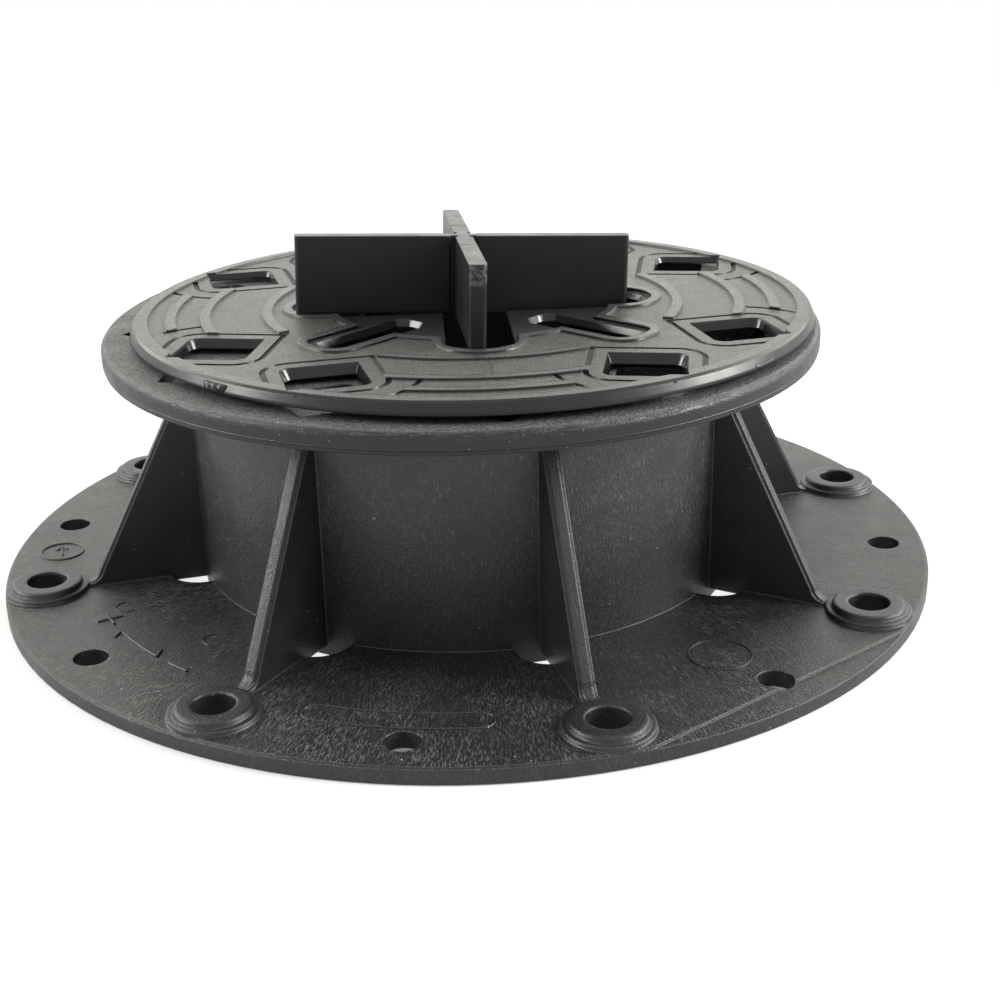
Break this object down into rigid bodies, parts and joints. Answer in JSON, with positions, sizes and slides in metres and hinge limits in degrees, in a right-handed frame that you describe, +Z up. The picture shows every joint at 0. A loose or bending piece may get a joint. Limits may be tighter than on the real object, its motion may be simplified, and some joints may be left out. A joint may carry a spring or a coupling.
{
  "type": "raised floor pedestal",
  "caption": "Adjustable plastic pedestal for raised floors: a ribbed round base, a screw head, a slope disc with openings and a cross that spaces the slabs.",
  "frame": {"origin": "centre of the base's underside", "axes": "+Z up along the drum's axis, +X through a rib and its boss"},
  "size_m": [0.2, 0.2, 0.0731],
  "materials": {
    "base": "satin charcoal, finely scratched",
    "screw_head": "satin charcoal, scuffed at the rim",
    "slope_disc": "satin charcoal with a fine grain",
    "spacer_cross": "satin charcoal, worn at the arm ends"
  },
  "bodies": {
    "base": {"base": "base"},
    "platform": {"slope_disc": "slope_disc", "spacer_cross": "spacer_cross"},
    "head": {"screw_head": "screw_head"}
  },
  "joints": [
    {"name": "height_adjust", "type": "slide", "parent": "base", "child": "platform", "axis": [0, 0, 1], "range_m": [0, 0.025]},
    {"name": "head_turn", "type": "hinge", "parent": "platform", "child": "head", "pos_m": [0, 0, 0.05], "axis": [0, 0, 1], "range_deg": [0, 1500]}
  ],
  "couplings": [
    {"joint": "height_adjust", "follows": "head_turn", "m_per_rad": 0.00095493}
  ]
}
